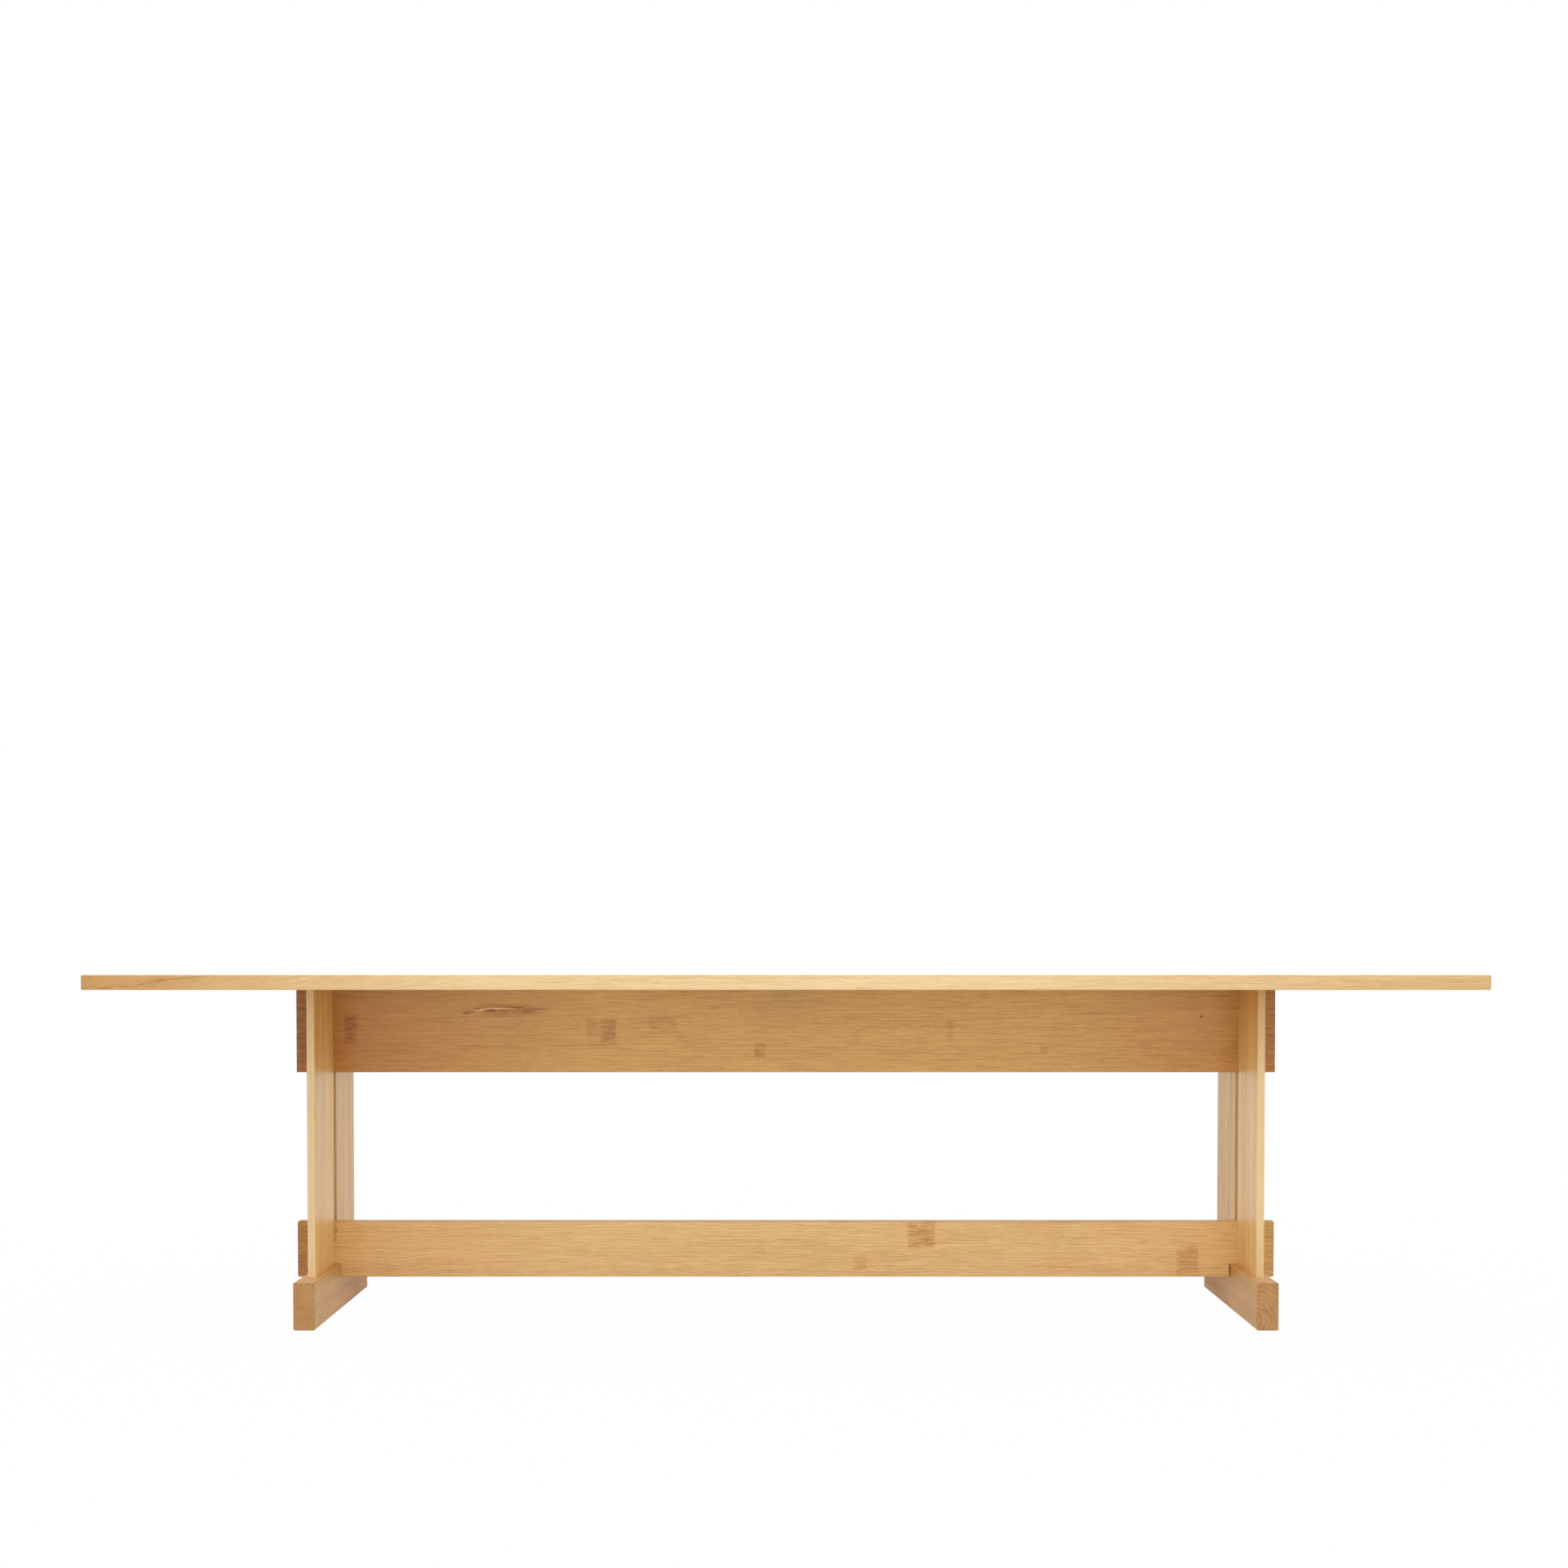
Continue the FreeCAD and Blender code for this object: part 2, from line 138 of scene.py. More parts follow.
BOARDS = {
    "top_board_1": dict(
        grain="x", heart=(-425, 618), rings=4.6, sway=9, seed=1, lines=0.7,
        runout=(-500, 0.19),
        # Front edge: a stain at the left end, and painted shade where the front light falls off
        front_stain_and_shade=[(-1400, 725, 760, 900, 1.0), (1400, 725, 1100, 900, 0.42)]),
    "upper_rail": dict(
        grain="x", heart=(45, 395), rings=7.0, sway=12, seed=8, lines=1.0, growth=0.28,
        # Painted shade where the planks shade both ends, the left partly a stain; the rest are
        # stains
        stains_and_shade=[(-1010, 600, 620, 400, 1.0), (-640, 655, 150, 26, 0.8),
                (-615, 657, 140, 26, 1.3), (1010, 600, 450, 400, 0.55),
                (-1058, 556, 12, 26, 0.9)],
        # Painted shade on the ends beyond the planks
        tails=[(-1060, 615, 50, 300, 0.23), (1060, 615, 50, 300, 0.16)]),
    "lower_stretcher": dict(
        grain="x", heart=(25, -20), rings=6.0, sway=12, seed=9, lines=0.8,
        swells=[(-738, 100, 110, 60, 9), (-850, 85, 90, 50, -8)],
        # Darker towards its left end, partly painted shade from the planks
        stains_and_shade=[(-1010, 132, 520, 400, 0.35)],
        # Painted shade on the ends beyond the planks
        tails=[(-1060, 132, 50, 300, 0.45), (1060, 132, 50, 300, 0.21)]),
    # The feet's upper faces get painted light.
    "left_foot": dict(
        FOOT, heart=(-905, -12), rings=8.5, sway=8, seed=10, warp=0.7, bands=(26, 1.0),
        ends=0.34, painted_top_light=0.5),
    "right_foot": dict(
        FOOT, heart=(962, 30), rings=9.0, sway=6, seed=11, warp=0.9, bands=(20, 1.1),
        ends=0.55, painted_top_light=0.6),
    # Planks: painted shade under the rail and the top; on the right front one, near the stretcher
    # too
    "left_front_plank": dict(
        PLANK, heart=(-1090, -90), seed=12, outer=-1, bands=(30, 1.2),
        shade=(1.08, 1.18, 1.25), stains_and_shade=[(-990, 740, 400, 230, 0.6)]),
    "left_rear_plank": dict(
        PLANK, heart=(-1075, 130), seed=13, outer=1, bands=(30, 1.2),
        shade=(0.98, 1.01, 0.96), stains_and_shade=[(-990, 740, 400, 230, 0.5)]),
    "right_front_plank": dict(
        PLANK, heart=(1085, -140), seed=14, outer=-1, bands=(30, 0.9),
        shade=(1.17, 1.32, 1.53),
        stains_and_shade=[(990, 740, 400, 230, 1.0), (990, 90, 400, 170, 0.2)]),
    "right_rear_plank": dict(
        PLANK, heart=(1080, 100), seed=15, outer=1, bands=(30, 1.7), lines=0.5,
        shade=(0.98, 1.01, 0.96), stains_and_shade=[(990, 740, 400, 230, 0.5)]),
}
for number, heart, rings, sway in (
        (2, (-262, 640), 5.9, 34), (3, (-120, 812), 5.5, 30), (4, (12, 655), 6.3, 36),
        (5, (150, 835), 5.7, 28), (6, (262, 650), 6.1, 34), (7, (418, 800), 5.7, 30)):
    BOARDS[f"top_board_{number}"] = dict(grain="x", heart=heart, rings=rings, sway=sway,
                                         seed=number, lines=0.6, growth=0.8)

# Marks in a board: middle and half sizes in mm, a tilt in radians for the streak, and strength.
# A streak is a dark line in a front edge; a combed mark is a patch where a pin knot turns the
# grain to short dark strokes; bark is an ingrown dark streak; a check is a pale, dry crack; a
# gap shade is painted shade, a dark line for the open gap where a notch meets a foot.
MARKS = {
    "top_board_1": {
        "streak": [
            (-1349, 714.8, 26, 1.7, 0.10, 0.8), (-1312, 717.7, 26, 1.7, 0.05, 0.9),
            (-1281, 721.0, 17, 1.7, 0.20, 1.0), (-1263, 725.9, 12, 1.7, 0.35, 1.0),
            (-1239, 730.0, 24, 1.7, 0.10, 1.0), (-1204, 732.5, 26, 1.6, 0.05, 0.9),
            (-1172, 735.4, 20, 1.5, 0.13, 0.8), (-1149, 738.9, 14, 1.5, 0.20, 0.7)],
    },
    "upper_rail": {
        "combed": [
            (-1060, 615, 50, 120, 0.9), (1060, 615, 50, 120, 0.65), (-951, 613, 15, 35, 0.85),
            (-388, 609, 19, 32, 0.85), (-420, 618, 18, 24, 0.4), (-268, 624, 34, 22, 0.42),
            (-56, 567, 14, 17, 0.75), (358, 612, 9, 26, 0.42), (566, 570, 9, 10, 0.5)],
        "bark": [
            (-646, 655.3, 17, 4.2, 1.0), (-692, 652.2, 17, 2.2, 0.9),
            (-697, 648.4, 16, 1.9, 0.8), (-588, 662.3, 26, 1.8, 0.8),
            (-550, 658.2, 44, 1.7, 0.8), (-564, 653, 21, 1.9, 0.8), (-672, 659.8, 16, 1.7, 0.7),
            (-618, 656, 18, 1.5, 0.6), (-704, 658.5, 20, 1.3, 0.5), (-640, 646.5, 46, 1.4, 0.45),
            (-568, 648.5, 19, 1.4, 0.7), (-628, 667, 44, 1.4, 0.45), (-655, 671, 30, 1.2, 0.35),
            (909, 642, 5, 4, 0.9)],
        "check": [
            (-670, 655.4, 15, 1.9, 1.0), (-656, 658.4, 15, 1.9, 1.0),
            (-636, 659.0, 16, 1.7, 1.0), (-612, 659.2, 26, 1.5, 0.9)],
    },
    "lower_stretcher": {
        "combed": [
            # At x -987 mm the mark is a dark ragged line where the left plank meets it
            (-1060, 132, 50, 90, 0.95), (1060, 132, 50, 90, 0.5), (-987, 168, 3, 26, 0.8),
            (297, 163, 33, 32, 0.8), (163, 103, 15, 20, 0.4), (881, 107, 27, 35, 0.65)],
        # Painted shade: a dark line for the open gap between the stretcher's notch and the right
        # foot.
        "painted_gap_shade": [(973.3, 93, 1.5, 8, 1.0)],
    },
    "right_foot": {"bark": [(990, 43, 5, 2.6, 0.55), (994, 39, 4, 2.6, 0.5)]},
}


def spot(add, place, x, z, half_x, half_z, tilt=0.0):
    """1 in the middle of an oval on a board's face, and 0 at its rim and outside it."""
    centred = add("Mapping", [
        place, (x * MM, 0, z * MM), (0, -tilt, 0), (half_x * MM, THROUGH, half_z * MM)],
        vector_type="TEXTURE")
    return add("TexGradient", [centred], "Fac", gradient_type="SPHERICAL")


def patch(add, place, x, z, half_x, half_z):
    """1 inside a rectangle on a board's face, with sharp ends and softer upper and lower sides."""
    centred = add("Mapping", [
        place, (x * MM, 0, z * MM), None, (half_x * MM, THROUGH, half_z * MM)],
        vector_type="TEXTURE")
    away = add("VectorMath", [centred], operation="ABSOLUTE")
    away = add("SeparateXYZ", [away]).node.outputs
    return add("Math", [
        add("MapRange", [away[0], 1.0, 0.75]),
        add("MapRange", [away[2], 1.05, 0.65])], operation="MULTIPLY")


def most_of(add, place, shape, marks):
    """The strongest of several marks at each place."""
    most = None
    for *where, strength in marks:
        mark = add("Math", [shape(add, place, *where), strength], operation="MULTIPLY")
        most = mark if most is None else add("Math", [most, mark], operation="MAXIMUM")
    return most


def shaken(add, place, along, size, detail, reach_x, reach_z):
    """A place that wanders along x and z by some mm, so that the rim of a mark looks torn."""
    shake = add("VectorMath", [place, (along, along, 1)], operation="MULTIPLY")
    shake = add("TexNoise", [shake, None, 1 / (size * MM), detail], "Color")
    shake = add("VectorMath", [
        shake, (reach_x * MM, 0, reach_z * MM), (-reach_x / 2 * MM, 0, -reach_z / 2 * MM)],
        operation="MULTIPLY_ADD")
    return add("VectorMath", [place, shake], operation="ADD")


def turned_to(add, facing, way, least, most, amount=1.0):
    """How far a surface faces one way, by the cosine: 0 at the least, an amount at the most."""
    cosine = add("VectorMath", [facing, way], "Value", operation="DOT_PRODUCT")
    return add("MapRange", [cosine, least, most, 0.0, amount])


def oak_axes(add, place, board):
    """A board's axes in its tree: first along the grain, then across it from the heart."""
    one, two = (value * MM for value in board["heart"])
    shift = {"x": (-one, -two), "y": (one, -two), "z": (-two, one)}[board["grain"]]
    seed = board["seed"] * SEED_STEP
    axes = add("Mapping", [place, (seed, *shift), GRAIN_TURN[board["grain"]]])

    # The tree strays slowly from straight, and its grain ripples: that opens the cathedrals.
    calm = add("VectorMath", [axes, (0.34, 1, 1)], operation="MULTIPLY")
    bent = axes
    for width, detail, rough, reach in ((400, 1.0, 0.4, 2 * board["sway"]),
                                        (28, 3.0, 0.5, board.get("ripple", 8))):
        wave = add("TexNoise", [calm, None, 1 / (width * MM), detail, rough], "Color")
        bent = add("VectorMath", [wave, [reach * MM] * 3, bent], operation="MULTIPLY_ADD")
    if "runout" in board:
        # Past this place the tree curves away, and its rings cross the board's edge.
        from_here, bend = board["runout"]
        along = add("SeparateXYZ", [axes])
        past = add("Math", [seed + from_here * MM, along], operation="SUBTRACT")
        past = add("Math", [past, 0.0], operation="MAXIMUM")
        lift = add("Math", [past, 2.0], operation="POWER")
        lift = add("CombineXYZ", [0.0, 0.0, lift])
        bent = add("VectorMath", [lift, [bend] * 3, bent], operation="MULTIPLY_ADD")
    for *where, height in board.get("swells", []):
        swell = add("CombineXYZ", [0.0, 0.0, spot(add, place, *where)])
        bent = add("VectorMath", [swell, [-height * MM] * 3, bent], operation="MULTIPLY_ADD")
    return bent


def oak_figure(add, bent, ends, board):
    """How light the wood is, and its threads and pores, which its gloss and surface follow."""
    parts = add("SeparateXYZ", [bent]).node.outputs
    across = add("VectorMath", [bent, (0, 1, 1)], operation="MULTIPLY")
    radius = add("VectorMath", [across], "Value", operation="LENGTH")
    angle = add("Math", [parts[2], parts[1]], operation="ARCTAN2")

    # Each year: a narrow porous band, then denser wood that pales towards the next band.
    wobble = add("TexNoise", [across, None, 1 / (26 * MM), 1.0])
    wobble = add("Math", [wobble, board.get("warp", 2.2)], operation="MULTIPLY")
    years = add("Math", [radius, 1 / (board["rings"] * MM), wobble], operation="MULTIPLY_ADD")
    year = add("Math", [years], operation="FRACT")
    year = add("ValToRGB", [year], stops=[
        (part, (pale, pale, pale, 1))
        for part, pale in ((0, 0.55), (0.1, 0), (0.28, 0.55), (0.8, 1))])
    rings = add("Math", [year, 0.6], operation="SUBTRACT")

    # Broad shades, long streaks, and threads of pores. A pore is 0.3 mm wide: bundles of them,
    # 2 mm thick and 40 mm long, are what shows from across a room.
    long = add("VectorMath", [bent, (0.06, 1, 1)], operation="MULTIPLY")
    band, contrast = board.get("bands", (55, 0.6))
    shades = add("TexNoise", [long, None, 1 / (band * MM), 2.0])
    streaks = add("TexNoise", [long, None, 1 / (6 * MM), 3.0, 0.6])
    threads = add("TexNoise", [long, None, 1 / (2.1 * MM), 2.0, 0.5])
    short = add("VectorMath", [bent, (0.1, 1, 1)], operation="MULTIPLY")
    dashes = add("TexNoise", [short, None, 1 / (1.3 * MM), 1.0, 0.5])
    pores = add("MapRange", [dashes, 0.60, 0.74])

    # Rays stand on the rings, 10 mm or so high: flecks on a quartered face, lines on an end.
    fan = add("CombineXYZ", [
        add("Math", [parts[0], 0.4], operation="MULTIPLY"), radius,
        add("Math", [angle, 1.1], operation="MULTIPLY")])
    rays = add("TexNoise", [fan, None, 1 / (10 * MM), 1.0])
    rays = add("MapRange", [rays, 0.60, 0.74])

    # The lines are strong along the grain, and faint where a sanded end cuts them. Streaks and
    # threads swing about their means, 0.5.
    streaky, thready = 1.15, 1.1
    light = -0.5 * (streaky + thready)
    for part, strength in ((streaks, streaky), (threads, thready), (pores, -0.25)):
        light = add("Math", [part, strength, light], operation="MULTIPLY_ADD")
    fading = add("MapRange", [ends, 0.0, 1.0, board.get("lines", 1.0), 0.3])
    light = add("Math", [light, fading, 0.5 - contrast / 2], operation="MULTIPLY_ADD")
    growth = board.get("growth", 0.34)
    growth = add("MapRange", [ends, 0.0, 1.0, growth, board.get("ends", growth)])
    for part, strength in ((shades, contrast), (rings, growth), (rays, 0.12)):
        light = add("Math", [part, strength, light], operation="MULTIPLY_ADD")
    return light, threads, pores


def oak_tints(add, place, facing, ends, board):
    """Where a board is darker or paler: amounts, colours, and how these are laid on."""
    # The ends drink more oil, so they are darker.
    layers = [(add("Math", [ends, 0.85], operation="MULTIPLY"), "#D0BDBC", "MULTIPLY")]
    # Painted light makes the outer edge paler, and painted shade darkens the edge in the slot.
    if "outer" in board:
        for way, shade in ((1, "#E0C8A1"), (-1, "#B4834C")):
            way = (0, way * board["outer"], 0)
            layers.append((turned_to(add, facing, way, 0.75, 0.95, 0.6), shade, "MIX"))
    # Painted light: upper faces are made paler.
    if "painted_top_light" in board:
        layers.append((turned_to(add, facing, UP, 0.75, 0.95, board["painted_top_light"]), "#FCD2A1",
                       "MIX"))
    # Painted shade: darker and browner towards the rear.
    if "rear" in board:
        behind = add("SeparateXYZ", [place]).node.outputs[1]
        behind = add("MapRange", [behind, -0.12, 0.15, 0.0, board["rear"]])
        layers.append((behind, "#D6B25E", "MULTIPLY"))
    # Real stains and painted shade: spots, the front edge's ends, and the ends beyond the planks.
    for shape, key, shade in ((spot, "stains_and_shade", "#DBBF97"), (spot, "front_stain_and_shade", "#DBBF97"),
                              (patch, "tails", "#BCAA50")):
        if key in board:
            stain_and_shade = most_of(add, place, shape, board[key])
            if key == "front_stain_and_shade":
                front = turned_to(add, facing, FRONT, 0.3, 0.9)
                stain_and_shade = add("Math", [stain_and_shade, front], operation="MULTIPLY")
            layers.append((stain_and_shade, shade, "MULTIPLY"))
    return layers


def oak_marks(add, place, facing, marks):
    """Where a board is marked: amounts, colours, and how these are laid on."""
    layers = []
    if "combed" in marks:
        # Every line of a mark begins and ends at its own place, so its sides look combed.
        combed = shaken(add, place, along=0.02, size=2.6, detail=1.0, reach_x=11, reach_z=3)
        strokes = add("VectorMath", [place, (0.13, 0.05, 1)], operation="MULTIPLY")
        strokes = add("TexNoise", [strokes, None, 1 / (2.8 * MM), 2.0])
        strokes = add("MapRange", [strokes, 0.38, 0.60, 0.25, 1.0])
        combed = most_of(add, combed, patch, marks["combed"])
        combed = add("Math", [combed, strokes], operation="MULTIPLY")
        layers.append((combed, "#D0AC78", "MULTIPLY"))
    # A painted dark line stands for the shade in an open joint by the right foot.
    for key, shape, shade, least, most in (
            ("bark", spot, "#7A4000", 0.02, 0.62), ("streak", spot, "#9A5A10", 0.0, 1.2),
            ("check", spot, "#F0C48A", 0.1, 0.45), ("painted_gap_shade", patch, "#3A1D0A", 0.0, 1.0)):
        if key in marks:
            where = place
            if shape is spot:
                where = shaken(add, place, along=0.2, size=5, detail=2.0, reach_x=16, reach_z=5)
            amount = most_of(add, where, shape, marks[key])
            amount = add("MapRange", [amount, least, most])
            if key == "streak":
                front = turned_to(add, facing, FRONT, 0.3, 0.9)
                amount = add("Math", [amount, front], operation="MULTIPLY")
            layers.append((amount, shade, "MIX"))
    return layers


def oiled_oak(name, tone, roughness, coat=0.0):
    """Solid European oak, planed, sanded and oiled.

    The growth rings are cylinders round the tree's heart, so that one pattern gives straight
    grain on the edges, cathedrals on the faces and arcs on the ends. Open pores lie in dark
    threads along the grain, rays cross it, and the oil leaves a soft gloss."""
    board = BOARDS[name]
    tone = tinted(tone, *board.get("shade", (1, 1, 1)))
    material, add = new_material("oiled_oak_" + name)
    place = add("TexCoord", output="Object")
    facing = add("TexCoord", output="Normal")
    ends = add("VectorMath", [facing, AXES[board["grain"]]], "Value", operation="DOT_PRODUCT")
    ends = add("Math", [ends], operation="ABSOLUTE")
    ends = add("MapRange", [ends, 0.3, 0.8])
    light, threads, pores = oak_figure(add, oak_axes(add, place, board), ends, board)
    colour = add("ValToRGB", [light], stops=[
        (0, tinted(tone, *DARKEST)), (0.3, tinted(tone, *BROWN)), (0.5, tone),
        (1, tinted(tone, *PALEST))])
    for amount, shade, blend in (oak_tints(add, place, facing, ends, board) +
                                 oak_marks(add, place, facing, MARKS.get(name, {}))):
        colour = add("Mix", {FACTOR: amount, UNDER: colour, OVER: srgb(shade)}, MIXED,
                     data_type="RGBA", blend_type=blend)

    # Oil dries duller over the pores, and the planed surface follows them faintly.
    more, uneven = board.get("dull", (0.0, 0.16))
    dull = add("Math", [threads, uneven, roughness + more - uneven / 2], operation="MULTIPLY_ADD")
    grooves = add("Math", [pores, -1.0, threads], operation="MULTIPLY_ADD")
    bump = add("Bump", {"Strength": 1.4 * uneven, "Distance": 0.25 * MM, "Height": grooves})
    # Only an upper face is lacquered.
    lacquer = turned_to(add, facing, UP, 0.3, 0.9, coat) if coat else 0.0
    shader = add("BsdfPrincipled", {
        "Base Color": colour, "Roughness": dull, "IOR": 1.4, "Normal": bump,
        "Coat Weight": lacquer, "Coat Roughness": 0.04})
    add("OutputMaterial", [shader])
    return material


# --- Other materials ---

def steamed_beech(name):
    """Steamed beech, planed: pinkish and even, with the short dark flecks of its rays."""
    material, add = new_material(name)
    place = add("TexCoord", output="Object")
    upright = add("VectorMath", [place, (1, 0.2, 1)], operation="MULTIPLY")
    flecks = add("TexNoise", [upright, None, 1 / (1.2 * MM), 1.0])
    flecks = add("MapRange", [flecks, 0.60, 0.70])
    shades = add("TexNoise", [upright, None, 1 / (9 * MM), 3.0])
    colour = add("ValToRGB", [shades], stops=[(0.3, srgb("#CFA27A")), (0.7, srgb("#E0BC96"))])
    some = add("Math", [flecks, 0.5], operation="MULTIPLY")
    colour = add("Mix", {FACTOR: some, UNDER: colour, OVER: srgb("#A9744C")}, MIXED,
                 data_type="RGBA")
    rough = add("Math", [flecks, 0.1, 0.5], operation="MULTIPLY_ADD")
    shader = add("BsdfPrincipled", {"Base Color": colour, "Roughness": rough})
    add("OutputMaterial", [shader])
    return material


def coated_metal(name, light, shadow, roughness):
    """Metal under a thin plated or blackened layer: mottled, with faint turning marks."""
    material, add = new_material(name)
    place = add("TexCoord", output="Object")
    mottle = add("TexNoise", [place, None, 1 / (3 * MM), 3.0, 0.6])
    colour = add("ValToRGB", [mottle], stops=[
        (0.35, list(light)), (0.65, tinted(light, *shadow))])
    rough = add("Math", [mottle, 0.16, roughness - 0.08], operation="MULTIPLY_ADD")
    turned = add("VectorMath", [place, (0.1, 0.1, 1)], operation="MULTIPLY")
    turned = add("TexNoise", [turned, None, 1 / (0.4 * MM), 2.0])
    bump = add("Bump", {"Strength": 0.12, "Distance": 0.05 * MM, "Height": turned})
    shader = add("BsdfPrincipled", {
        "Base Color": colour, "Metallic": 1.0, "Roughness": rough, "Normal": bump})
    add("OutputMaterial", [shader])
    return material


def powder_coated_steel(name, paint):
    """Black powder coat on folded steel: a fine orange peel, 1.6 mm wide, breaks up its sheen."""
    material, add = new_material(name)
    place = add("TexCoord", output="Object")
    peel = add("TexNoise", [place, None, 1 / (1.6 * MM), 2.0])
    dust = add("TexNoise", [place, None, 1 / (40 * MM), 4.0, 0.7])
    colour = add("ValToRGB", [dust], stops=[(0.40, paint), (0.90, tinted(paint, 2.2, 2.1, 2.0))])
    rough = add("Math", [peel, 0.2, 0.38], operation="MULTIPLY_ADD")
    bump = add("Bump", {"Strength": 0.35, "Distance": 0.1 * MM, "Height": peel})
    shader = add("BsdfPrincipled", {"Base Color": colour, "Roughness": rough, "Normal": bump})
    add("OutputMaterial", [shader])
    return material


def pressed_felt(name, wool):
    """Pressed wool felt: matt, with a nap of tangled fibres some 3 mm long."""
    material, add = new_material(name)
    place = add("TexCoord", output="Object")
    fibres = None
    for lay in ((0.17, 1, 1), (1, 0.17, 1)):
        combed = add("VectorMath", [place, lay], operation="MULTIPLY")
        combed = add("TexNoise", [combed, None, 1 / (0.5 * MM), 3.0, 0.7])
        fibres = combed if fibres is None else add("Math", [fibres, combed], operation="MAXIMUM")
    colour = add("ValToRGB", [fibres], stops=[
        (0.45, tinted(wool, 0.62, 0.60, 0.58)), (0.70, tinted(wool, 1.25, 1.25, 1.25))])
    bump = add("Bump", {"Strength": 0.8, "Distance": 0.3 * MM, "Height": fibres})
    shader = add("BsdfPrincipled", {
        "Base Color": colour, "Roughness": 0.95, "Sheen Weight": 0.4, "Normal": bump})
    add("OutputMaterial", [shader])
    return material


# --- Modelling by hand ---

def select_only(piece):
    """Makes a piece the active one, with nothing else selected."""
    bpy.ops.object.select_all(action="DESELECT")
    piece.select_set(True)
    bpy.context.view_layer.objects.active = piece


def start(name, primitive, **shape):
    """Adds a primitive with nothing else selected, and puts its place into its mesh."""
    bpy.ops.object.select_all(action="DESELECT")
    primitive(**shape)
    piece = bpy.context.object
    piece.name = piece.data.name = name
    bpy.ops.object.transform_apply(location=True, rotation=True, scale=True)
    return piece


@contextmanager
def editing():
    """Edit mode, and object mode again afterwards."""
    bpy.ops.object.mode_set(mode="EDIT")
    yield
    bpy.ops.object.mode_set(mode="OBJECT")


def choose(piece, kind, test):
    """In edit mode, selects the faces or edges whose middle and direction pass a test.

    The direction is a face's normal, or the way that an edge runs."""
    bpy.ops.mesh.select_mode(type=kind)
    bpy.ops.mesh.select_all(action="DESELECT")
    mesh = bmesh.from_edit_mesh(piece.data)
    found = 0
    for part in (mesh.faces if kind == "FACE" else mesh.edges):
        ends = [vert.co for vert in part.verts]
        middle = sum(ends, Vector()) / len(ends)
        way = part.normal if kind == "FACE" else (ends[1] - ends[0]).normalized()
        if test(middle, way):
            part.select_set(True)
            found += 1
    bmesh.update_edit_mesh(piece.data)
    if not found:
        raise RuntimeError(f"{piece.name}: nothing to shape where a {kind.lower()} should be")


def cut(piece, tools):
    """Cuts pieces out of another with Boolean modifiers, and removes them."""
    for tool in tools:
        select_only(piece)
        bpy.ops.object.modifier_add(type="BOOLEAN")
        modifier = piece.modifiers[-1]
        modifier.object, modifier.operation, modifier.solver = tool, "DIFFERENCE", "EXACT"
        bpy.ops.object.modifier_apply(modifier=modifier.name)
        bpy.data.objects.remove(tool)


def copied(piece, name, move):
    """A copy of a piece with a mesh of its own, moved."""
    select_only(piece)
    bpy.ops.object.duplicate()
    twin = bpy.context.object
    twin.name = twin.data.name = name
    bpy.ops.transform.translate(value=move)
    bpy.ops.object.transform_apply(location=True, rotation=True, scale=True)
    return twin


def finish_piece(piece, node, material, smooth=30):
    """Gives a modelled piece its finish and its smooth bends, in place of a plain node."""
    select_only(piece)
    bpy.ops.object.shade_smooth_by_angle(angle=math.radians(smooth))
    piece.data.materials.clear()
    piece.data.materials.append(material)
    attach(piece, "root")
    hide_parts(node)


def finish_set(piece, name, places, node, material, smooth=30):
    """Finishes the piece at the first of some places, and copies it to the others, as one node."""
    finish_piece(piece, node, material, smooth)
    x, y = places[0]
    for number, (next_x, next_y) in enumerate(places[1:], start=2):
        twin = copied(piece, f"{name}_{number}", (next_x - x, next_y - y, 0))
        finish_piece(twin, node, material, smooth)


def paint(node, material):
    """Gives a node of the frame a finish."""
    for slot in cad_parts[node].material_slots:
        slot.material = material


def oil(context, tone, *nodes):
    """Oils nodes of the frame, in the tone of one of the oak's settings."""
    oak = context.scene.trestle_table.oak
    for node in nodes:
        paint(node, oiled_oak(node, getattr(oak, tone), oak.roughness))


def spread(count, spacing):
    """Equally spaced positions about the middle."""
    return [spacing * (number - (count - 1) / 2) for number in range(count)]


# --- What a user may change ---

# The camera: its focal length, and how far its axis passes below the middle of the frame, in
# pixels of a frame of this width
FRAME_WIDTH, FOCAL_LENGTH, AXIS_DROP = 1932, 2828, 274
SENSOR_WIDTH = 36.0         # mm


def colour_property(name, code, description):
    """A colour that a user may change, from an sRGB hex value."""
    return FloatVectorProperty(name=name, description=description, subtype="COLOR", size=4,
                               min=0.0, max=1.0, default=srgb(code))


def length_property(name, size, description):
    """A length that a user may change, from mm."""
    return FloatProperty(name=name, description=description, subtype="DISTANCE", unit="LENGTH",
                         min=0.0, default=size * MM)


class OakSettings(bpy.types.PropertyGroup):
    edge: colour_property("Front board", "#EBC991", "Oak of the top's front board")
    top: colour_property("Top boards", "#E2BB83", "Oak of the top's other boards")
    rail: colour_property("Upper rail", "#D6A559", "Oak of the deep rail under the top")
    stretcher: colour_property("Stretcher", "#EABF7F", "Oak of the lower stretcher")
    foot: colour_property("Feet", "#DEB16F", "Oak of the feet")
    plank: colour_property("Planks", "#EDBD75", "Oak of the upright planks")
    roughness: FloatProperty(name="Roughness", description="How dull the oil leaves the wood",
                             subtype="FACTOR", min=0.1, max=1.0, default=0.34)
    top_coat: FloatProperty(name="Top lacquer", subtype="FACTOR", min=0.0, max=1.0, default=1.0,
                            description="Satin lacquer that guards the top against spills")


